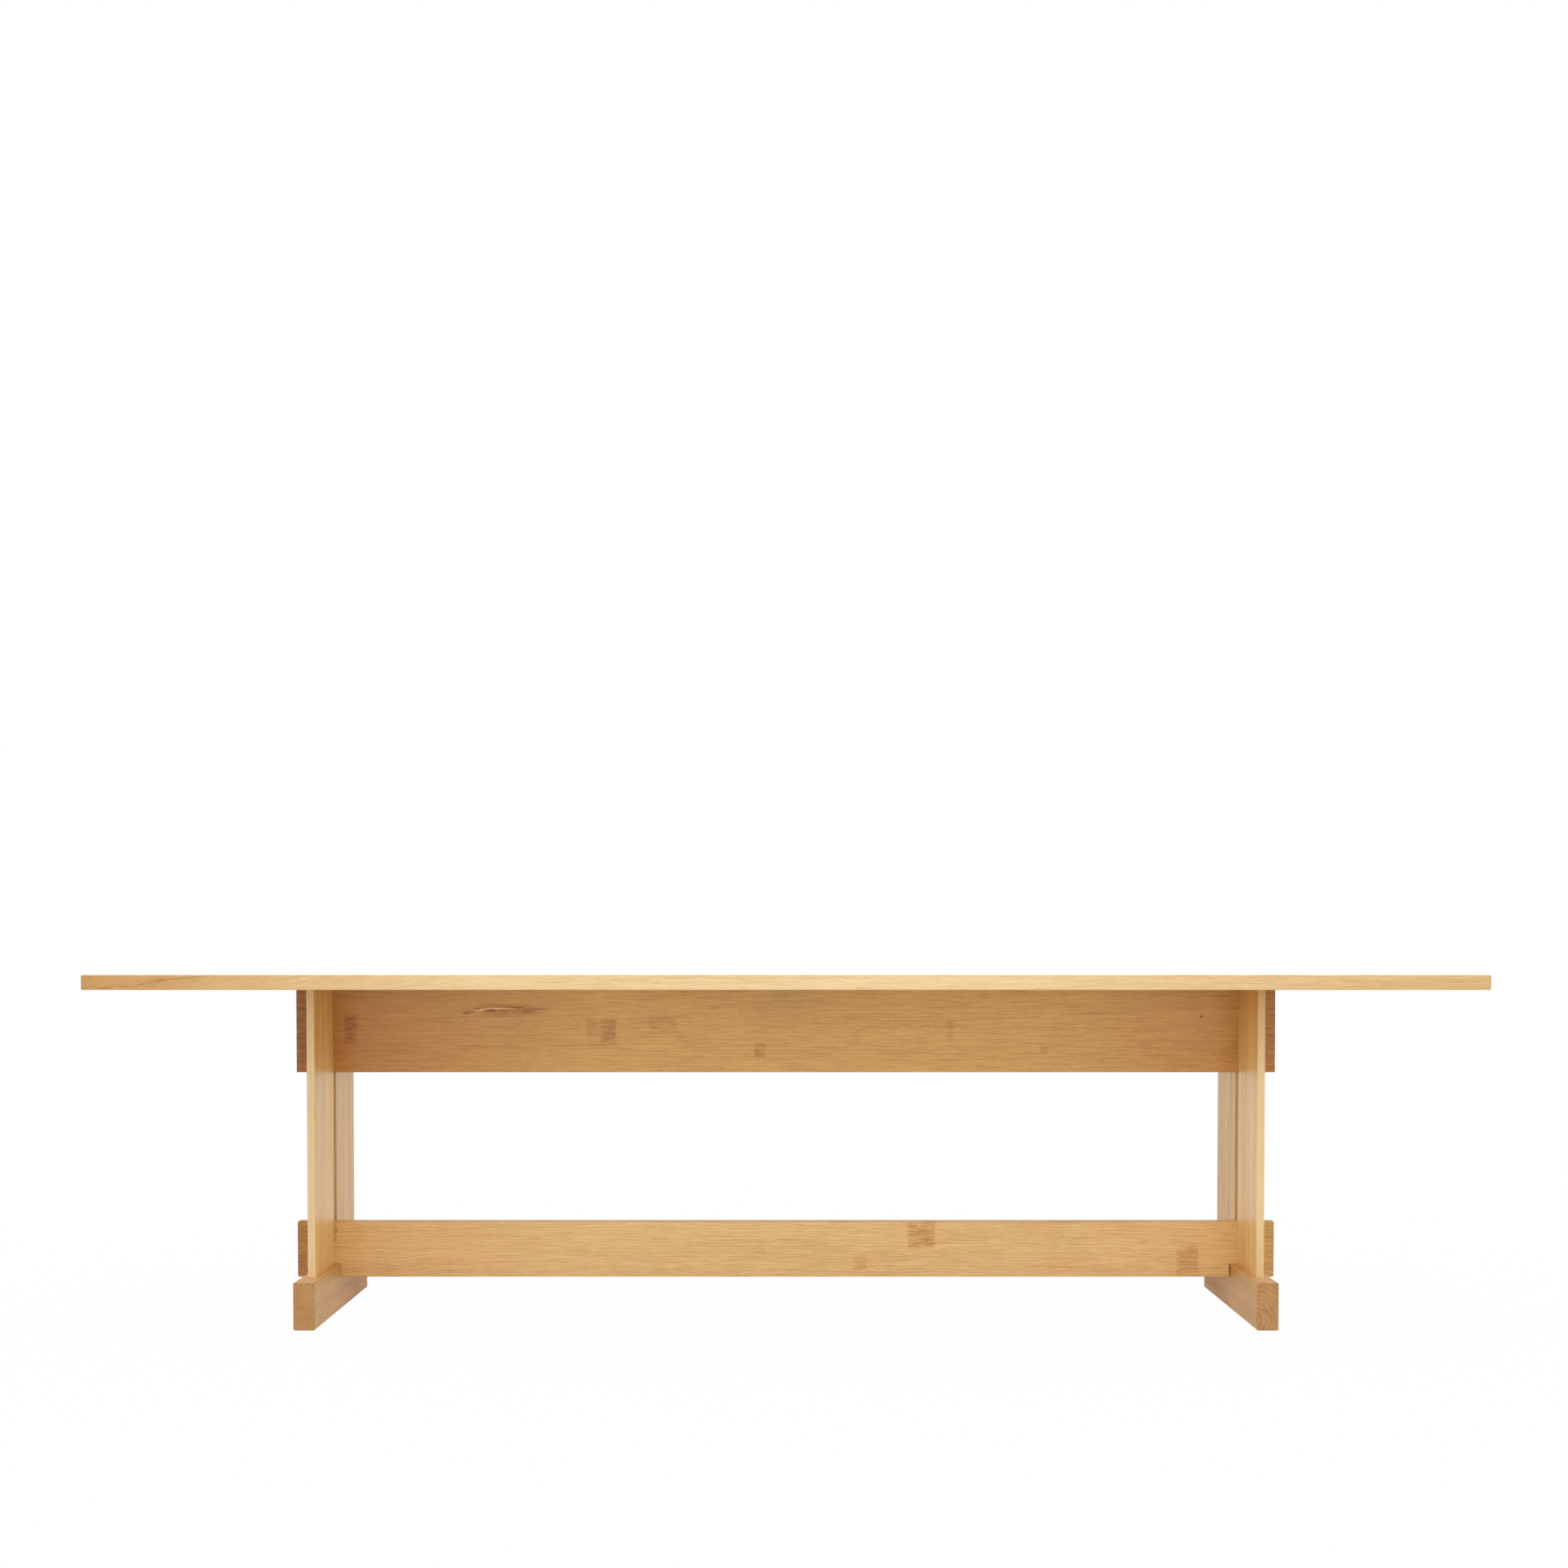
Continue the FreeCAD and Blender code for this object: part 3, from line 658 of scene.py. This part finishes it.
class BoltSettings(bpy.types.PropertyGroup):
    thread: length_property("Thread", 8.0, "Diameter of the thread")
    shank: length_property("Length", 60.0, "Length under the head")
    head: length_property("Head width", 17.0, "Diameter of the flanged head")
    head_height: length_property("Head height", 5.0, "Thickness of the flanged head")
    key: length_property("Key width", 6.0, "Width of the hexagon socket")
    count: IntProperty(name="Count", description="Bolts along the rail", min=1, default=4)
    spacing: length_property("Spacing", 560.0, "Distance from bolt to bolt")
    steel: colour_property("Zinc", "#C9CCCF", "Bright zinc on the bolts")
    sleeve: colour_property("Insert", "#B5A983", "Yellowed zinc alloy of the inserts")


class ChannelSettings(bpy.types.PropertyGroup):
    wall: length_property("Wall", 2.5, "Thickness of the folded steel")
    bend: length_property("Bend", 3.0, "Outer radius of the folds")
    slot_length: length_property("Slot length", 16.0, "Length of a screw slot")
    slot_width: length_property("Slot width", 6.0, "Width of a screw slot")
    screws: IntProperty(name="Screws", description="Screws in a channel", min=1, default=3)
    spacing: length_property("Spacing", 320.0, "Distance from screw to screw")
    screw_head: length_property("Screw head", 11.0, "Diameter of a screw's head")
    screw_shank: length_property("Screw", 5.0, "Diameter of a screw")
    head_height: length_property("Head height", 3.0, "Thickness of a screw's head")
    paint: colour_property("Paint", "#1D1D1E", "Powder coat on the channels")
    screw_steel: colour_property("Screws", "#3A3A3C", "Blackened steel of the screws")


class PadSettings(bpy.types.PropertyGroup):
    corner: length_property("Corner", 4.0, "Radius of a pad's corners")
    wool: colour_property("Felt", "#75685A", "Wool of the pads")


class StudioSettings(bpy.types.PropertyGroup):
    air: FloatProperty(name="Air", description="Strength of the light from all round",
                       min=0.0, default=0.88)
    front: FloatProperty(name="Front lamp", description="Power of the front soft box",
                         subtype="POWER", unit="POWER", min=0.0, default=60.0)
    overhead: FloatProperty(name="Overhead lamp", description="Power of the overhead soft box",
                            subtype="POWER", unit="POWER", min=0.0, default=8.0)
    lens: FloatProperty(name="Lens", description="Focal length on a 36 mm sensor",
                        subtype="DISTANCE_CAMERA", min=1.0,
                        default=FOCAL_LENGTH / FRAME_WIDTH * SENSOR_WIDTH)
    tilt: FloatProperty(name="Tilt", description="How far the camera looks down",
                        subtype="ANGLE", unit="ROTATION", default=math.radians(1.654))
    shift: FloatProperty(name="Shift", description="Rise of the view, as a share of its width",
                         default=AXIS_DROP / FRAME_WIDTH)
    glow: FloatProperty(name="Glow", description="How far the floor hides the table's shadow",
                        subtype="FACTOR", min=0.0, max=1.0, default=0.985)
    white: colour_property("Backdrop", "#FFFFFF", "White of the floor and the air")
    floor: colour_property("Floor", "#E4E4E4", "Floor as it lights the table from below")


class TableSettings(bpy.types.PropertyGroup):
    oak: PointerProperty(type=OakSettings)
    bolts: PointerProperty(type=BoltSettings)
    channels: PointerProperty(type=ChannelSettings)
    pads: PointerProperty(type=PadSettings)
    studio: PointerProperty(type=StudioSettings)


# --- Pieces ---

# How light each board of the top is, from front to rear
TOP_SHADES = (1.0, 0.95, 1.05, 0.90, 1.03, 0.96, 1.02)
NEAR = 0.1 * MM             # how close a part of a mesh lies to the height that it is chosen by


class TABLE_OT_top(bpy.types.Operator):
    """Finishes the seven glued boards of the top"""
    bl_idname = "table.top"
    bl_label = "Top boards"

    def execute(self, context):
        oak = context.scene.trestle_table.oak
        for number, shade in enumerate(TOP_SHADES, start=1):
            node = f"top_board_{number}"
            tone = tinted(oak.edge if number == 1 else oak.top, shade, shade, shade)
            paint(node, oiled_oak(node, tone, oak.roughness, oak.top_coat))
        return {"FINISHED"}


class TABLE_OT_upper_rail(bpy.types.Operator):
    """Finishes the deep rail under the top, with its pin knots and ingrown bark"""
    bl_idname = "table.upper_rail"
    bl_label = "Upper rail"

    def execute(self, context):
        oil(context, "rail", "upper_rail")
        return {"FINISHED"}


class TABLE_OT_stretcher(bpy.types.Operator):
    """Finishes the lower stretcher, with its pin knots"""
    bl_idname = "table.stretcher"
    bl_label = "Lower stretcher"

    def execute(self, context):
        oil(context, "stretcher", "lower_stretcher")
        return {"FINISHED"}


class TABLE_OT_feet(bpy.types.Operator):
    """Finishes the two foot beams, which show their end grain in front"""
    bl_idname = "table.feet"
    bl_label = "Feet"

    def execute(self, context):
        oil(context, "foot", "left_foot", "right_foot")
        return {"FINISHED"}


class TABLE_OT_planks(bpy.types.Operator):
    """Finishes the four upright planks"""
    bl_idname = "table.planks"
    bl_label = "Planks"

    def execute(self, context):
        oil(context, "plank", "left_front_plank", "left_rear_plank", "right_front_plank",
            "right_rear_plank")
        return {"FINISHED"}


class TABLE_OT_slips(bpy.types.Operator):
    """Finishes the loose beech tenons inside the joints"""
    bl_idname = "table.slips"
    bl_label = "Slips"

    def execute(self, context):
        beech = steamed_beech("steamed_beech")
        for node in ("left_rail_slips", "right_rail_slips", "left_stretcher_slip",
                     "right_stretcher_slip", "top_slips"):
            paint(node, beech)
        return {"FINISHED"}


class TABLE_OT_bolts(bpy.types.Operator):
    """Models the bolts that hold the top to the upper rail, and finishes their inserts"""
    bl_idname = "table.bolts"
    bl_label = "Bolts and inserts"

    def execute(self, context):
        size = context.scene.trestle_table.bolts
        head_round, key_depth, key_round = 1.2 * MM, 7 * MM, 0.3 * MM
        end_chamfer, end_taper = 1.2 * MM, 0.78
        half_pitch, runout, rings, root_taper = 0.625 * MM, 1.8 * MM, 42, 0.85
        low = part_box("top_bolts")[0][2]
        places = [(x, 0) for x in spread(size.count, size.spacing)]
        first = places[0][0]
        bolt = start("top_bolt_1", bpy.ops.mesh.primitive_cylinder_add, vertices=48,
                     radius=size.head / 2, depth=size.head_height,
                     location=(first, 0, low + size.head_height / 2))
        with editing():
            choose(bolt, "EDGE", lambda middle, way: middle.z < low + NEAR and
                   Vector((middle.x - first, middle.y)).length > 0.4 * size.head)
            bpy.ops.mesh.bevel(offset=head_round, segments=4)
            choose(bolt, "FACE", lambda middle, way: way.z > 0.9)
            bpy.ops.mesh.inset(thickness=(size.head - size.thread) / 2)
            for length in (size.shank - end_chamfer, end_chamfer):
                bpy.ops.mesh.extrude_region_move(TRANSFORM_OT_translate={"value": (0, 0, length)})
            bpy.ops.transform.resize(value=(end_taper, end_taper, 1),
                                     center_override=(first, 0, 0))
            # The thread: a ring cut at every half pitch, and every other one drawn in to the root.
            tip = low + size.head_height + size.shank - runout
            for step in range(rings):
                bpy.ops.mesh.select_all(action="SELECT")
                bpy.ops.mesh.bisect(plane_co=(first, 0, tip - step * half_pitch),
                                    plane_no=(0, 0, 1))
            choose(bolt, "EDGE", lambda middle, way: abs(way.z) < 0.1 and
                   round((tip - middle.z) / half_pitch, 1) in range(1, rings, 2))
            bpy.ops.transform.resize(value=(root_taper, root_taper, 1),
                                     center_override=(first, 0, 0))
        key = start("key", bpy.ops.mesh.primitive_cylinder_add, vertices=6,
                    radius=size.key / math.sqrt(3), depth=key_depth, location=(first, 0, low))
        cut(bolt, [key])
        with editing():
            choose(bolt, "EDGE", lambda middle, way: abs(middle.z - low) < NEAR / 2 and
                   Vector((middle.x - first, middle.y)).length < 0.6 * size.key)
            bpy.ops.mesh.bevel(offset=key_round, segments=2)
        zinc = coated_metal("bright_zinc_steel", size.steel, (0.72, 0.74, 0.77), 0.32)
        finish_set(bolt, "top_bolt", places, "top_bolts", zinc)
        paint("top_inserts", coated_metal("zinc_alloy", size.sleeve, (0.8, 0.78, 0.7), 0.38))
        return {"FINISHED"}


class TABLE_OT_channels(bpy.types.Operator):
    """Models the folded steel channels that keep the top flat"""
    bl_idname = "table.channels"
    bl_label = "Stiffening channels"

    def execute(self, context):
        size = context.scene.trestle_table.channels
        lip_round, slot_round, overshoot = 0.4 * MM, 0.48, 1.1
        coat = powder_coated_steel("black_powder_coated_steel", list(size.paint))
        low, high = (Vector(corner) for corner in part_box("stiffener_channel_1"))
        middle, span = (low + high) / 2, high - low
        piece = start("channel_1", bpy.ops.mesh.primitive_cube_add, size=1, location=middle,
                      scale=span)
        inside = Vector((span.x - 2 * size.wall, span.y * overshoot, span.z))
        hollow = start("hollow", bpy.ops.mesh.primitive_cube_add, size=1, scale=inside,
                       location=middle - Vector((0, 0, size.wall)))
        cut(piece, [hollow])
        with editing():
            choose(piece, "EDGE", lambda place, way: abs(way.y) > 0.9 and place.z > high.z - NEAR)
            bpy.ops.mesh.bevel(offset=size.bend, segments=6)
            choose(piece, "EDGE", lambda place, way: abs(way.y) > 0.9 and
                   abs(place.z - high.z + size.wall) < NEAR and
                   abs(place.x - middle.x) < inside.x / 2 + NEAR)
            bpy.ops.mesh.bevel(offset=size.bend / 4, segments=3)
            choose(piece, "EDGE", lambda place, way: place.z < low.z + NEAR)
            bpy.ops.mesh.bevel(offset=lip_round, segments=2)
        for number, y in enumerate(spread(size.screws, size.spacing)):
            slot = start(f"slot_{number}", bpy.ops.mesh.primitive_cube_add, size=1,
                         scale=(size.slot_width, size.slot_length, 6 * size.wall),
                         location=(middle.x, y, high.z))
            with editing():
                choose(slot, "EDGE", lambda place, way: abs(way.z) > 0.9)
                bpy.ops.mesh.bevel(offset=slot_round * size.slot_width, segments=6)
            cut(piece, [slot])
        finish_piece(piece, "stiffener_channel_1", coat)
        for number in (2, 3):
            node = f"stiffener_channel_{number}"
            move = Vector(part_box(node)[0]) - low
            finish_piece(copied(piece, f"channel_{number}", move), node, coat)
        return {"FINISHED"}


class TABLE_OT_screws(bpy.types.Operator):
    """Models the pan-headed screws that hold the channels"""
    bl_idname = "table.screws"
    bl_label = "Channel screws"

    def execute(self, context):
        size = context.scene.trestle_table.channels
        low, high = (Vector(corner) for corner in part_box("channel_screws"))
        cross_length, cross_width, cross_depth, cross_taper = 6.2 * MM, 1.1 * MM, 3.0 * MM, 0.6
        dome, plain_share, point = 1.7 * MM, 0.7, 0.12
        channels = [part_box(f"stiffener_channel_{number}") for number in (1, 2, 3)]
        places = [((one[0] + other[0]) / 2, y) for one, other in channels
                  for y in spread(size.screws, size.spacing)]
        x, y = places[0]
        screw = start("channel_screw_1", bpy.ops.mesh.primitive_cylinder_add, vertices=32,
                      radius=size.screw_head / 2, depth=size.head_height,
                      location=(x, y, low.z + size.head_height / 2))
        with editing():
            choose(screw, "EDGE", lambda place, way: place.z < low.z + NEAR)
            bpy.ops.mesh.bevel(offset=dome, segments=5)
            choose(screw, "FACE", lambda place, way: way.z > 0.9)
            bpy.ops.mesh.inset(thickness=(size.screw_head - size.screw_shank) / 2)
            shank = high.z - low.z - size.head_height
            for share in (plain_share, 1 - plain_share):
                bpy.ops.mesh.extrude_region_move(
                    TRANSFORM_OT_translate={"value": (0, 0, shank * share)})
            bpy.ops.transform.resize(value=(point, point, 1), center_override=(x, y, 0))
        for number, turn in enumerate((0, math.pi / 2)):
            blade = start(f"blade_{number}", bpy.ops.mesh.primitive_cube_add, size=1,
                          scale=(cross_length, cross_width, cross_depth),
                          rotation=(0, 0, turn), location=(x, y, low.z))
            with editing():
                choose(blade, "FACE", lambda place, way: way.z > 0.9)
                bpy.ops.transform.resize(value=(cross_taper, cross_taper, 1),
                                         center_override=(x, y, 0))
            cut(screw, [blade])
        black = coated_metal("blackened_steel", size.screw_steel, (0.6, 0.6, 0.62), 0.42)
        finish_set(screw, "channel_screw", places, "channel_screws", black)
        return {"FINISHED"}


class TABLE_OT_pads(bpy.types.Operator):
    """Models the felt pads under the feet"""
    bl_idname = "table.pads"
    bl_label = "Felt pads"

    def execute(self, context):
        size = context.scene.trestle_table.pads
        felt = pressed_felt("pressed_wool_felt", size.wool)
        low, high = (Vector(corner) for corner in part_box("felt_pads"))
        length, width, thickness, rim = 60 * MM, 25 * MM, high.z - low.z, 0.9 * MM
        places = [(x, y) for x in (low.x + width / 2, high.x - width / 2)
                  for y in (low.y + length / 2, high.y - length / 2)]
        x, y = places[0]
        pad = start("felt_pad_1", bpy.ops.mesh.primitive_cube_add, size=1,
                    scale=(width, length, thickness), location=(x, y, thickness / 2))
        with editing():
            choose(pad, "EDGE", lambda place, way: abs(way.z) > 0.9)
            bpy.ops.mesh.bevel(offset=size.corner, segments=5)
            choose(pad, "EDGE", lambda place, way: abs(way.z) < 0.1)
            bpy.ops.mesh.bevel(offset=rim, segments=3)
        finish_set(pad, "felt_pad", places, "felt_pads", felt, smooth=60)
        return {"FINISHED"}


# --- Stage ---

# In metres: the camera's place, and how far it sees
EYE, FAR = (-0.0039, -5.0294, 0.8091), 200
# The floor's size, how far it lies below the pads, and half sizes of the oval in which it keeps
# the table's shadow
FLOOR_SIZE, FLOOR_GAP, SHADOW = 80, 0.3 * MM, (4.0, 3.0, 1.0)


def seen_or_mirrored(add):
    """1 where a ray comes from the camera, a mirror-like surface or glass, and 0 elsewhere."""
    path = add("LightPath").node.outputs
    seen = add("Math", [path["Is Camera Ray"], path["Is Glossy Ray"]], operation="MAXIMUM")
    return add("Math", [seen, path["Is Transmission Ray"]], operation="MAXIMUM")


class TABLE_OT_studio(bpy.types.Operator):
    """Sets the table on a white floor in soft light, in front of a camera"""
    bl_idname = "table.studio"
    bl_label = "Studio"

    def execute(self, context):
        size = context.scene.trestle_table.studio
        self.light_air(context, size)
        self.lay_floor(size)
        self.hang_lamp("front_soft_box", size.front, wide=5.0, high=1.6, place=(0, -5.8, 0.8),
                       aim=(0, 0, 0.5))
        self.hang_lamp("overhead_soft_box", size.overhead, wide=4.4, high=2.6,
                       place=(0, 0, 2.9), aim=(0, 0, 0.74))
        eye = bpy.data.cameras.new("camera")
        eye.sensor_fit, eye.sensor_width = "HORIZONTAL", SENSOR_WIDTH
        eye.lens, eye.shift_y, eye.clip_end = size.lens, size.shift, FAR
        holder = bpy.data.objects.new("camera", eye)
        context.scene.collection.objects.link(holder)
        holder.location = EYE
        holder.rotation_euler = (math.pi / 2 - size.tilt, 0, 0)
        context.scene.camera = holder
        context.scene.view_settings.view_transform = "Standard"
        return {"FINISHED"}

    @staticmethod
    def light_air(context, size):
        """Even light from all round, with plain white behind everything that is looked at."""
        world = bpy.data.worlds.new("studio_air")
        context.scene.world = world
        world.use_nodes = True
        world.node_tree.nodes.clear()
        add = partial(add_node, world.node_tree)
        air = add("Background", [size.white, size.air])
        plain = add("Background", [size.white, 1.0])
        both = add("MixShader", [seen_or_mirrored(add), air, plain])
        add("OutputWorld", [both])

    @staticmethod
    def lay_floor(size):
        """A white floor that keeps a faint shadow near the table, and is clear from below."""
        floor = start("studio_floor", bpy.ops.mesh.primitive_plane_add, size=FLOOR_SIZE,
                      location=(0, 0, -FLOOR_GAP))
        material, add = new_material("white_studio_floor")
        near = add("TexCoord", output="Object")
        near = add("Mapping", [near, None, None, SHADOW], vector_type="TEXTURE")
        near = add("TexGradient", [near], "Fac", gradient_type="SPHERICAL")
        glowing = add("MapRange", [near, 0.0, 0.5, 1.0, size.glow])
        painted = add("BsdfDiffuse", [size.floor])
        shaded = add("BsdfDiffuse", [size.white])
        glow = add("Emission", [size.white, 1.0])
        bright = add("MixShader", [glowing, shaded, glow])
        both = add("MixShader", [seen_or_mirrored(add), painted, bright])
        below = add("Math", [
            add("NewGeometry", output="Backfacing"),
            add("LightPath", output="Is Camera Ray")], operation="MULTIPLY")
        laid = add("MixShader", [below, both, add("BsdfTransparent")])
        add("OutputMaterial", [laid])
        floor.data.materials.append(material)

    @staticmethod
    def hang_lamp(name, power, wide, high, place, aim):
        """A soft box: a rectangular lamp that faces a point."""
        lamp = bpy.data.lights.new(name, "AREA")
        lamp.shape, lamp.energy = "RECTANGLE", power
        lamp.size, lamp.size_y = wide, high
        holder = bpy.data.objects.new(name, lamp)
        bpy.context.scene.collection.objects.link(holder)
        holder.location = place
        holder.rotation_euler = (Vector(aim) - Vector(place)).to_track_quat("-Z", "Y").to_euler()


# --- Add-on ---

STEPS = (TABLE_OT_top, TABLE_OT_upper_rail, TABLE_OT_stretcher, TABLE_OT_feet, TABLE_OT_planks,
         TABLE_OT_slips, TABLE_OT_bolts, TABLE_OT_channels, TABLE_OT_screws, TABLE_OT_pads,
         TABLE_OT_studio)


class TABLE_PT_sidebar(bpy.types.Panel):
    """Lists the table's settings and the steps that make it"""
    bl_idname = "TABLE_PT_sidebar"
    bl_label = "Trestle dining table"
    bl_space_type = "VIEW_3D"
    bl_region_type = "UI"
    bl_category = "Table"

    def draw(self, context):
        table = context.scene.trestle_table
        for title in ("oak", "bolts", "channels", "pads", "studio"):
            box = self.layout.box()
            box.label(text=title.capitalize())
            group = getattr(table, title)
            for key in group.__annotations__:
                box.prop(group, key)
        for step in STEPS:
            self.layout.operator(step.bl_idname)


CLASSES = (OakSettings, BoltSettings, ChannelSettings, PadSettings, StudioSettings,
           TableSettings, *STEPS, TABLE_PT_sidebar)


def register():
    for one in CLASSES:
        bpy.utils.register_class(one)
    bpy.types.Scene.trestle_table = PointerProperty(type=TableSettings)


def unregister():
    del bpy.types.Scene.trestle_table
    for one in reversed(CLASSES):
        bpy.utils.unregister_class(one)


def main():
    """Makes the table and its studio."""
    register()
    bpy.ops.table.top()
    bpy.ops.table.upper_rail()
    bpy.ops.table.stretcher()
    bpy.ops.table.feet()
    bpy.ops.table.planks()
    bpy.ops.table.slips()
    bpy.ops.table.bolts()
    bpy.ops.table.channels()
    bpy.ops.table.screws()
    bpy.ops.table.pads()
    bpy.ops.table.studio()


if __name__ == "__main__":
    main()
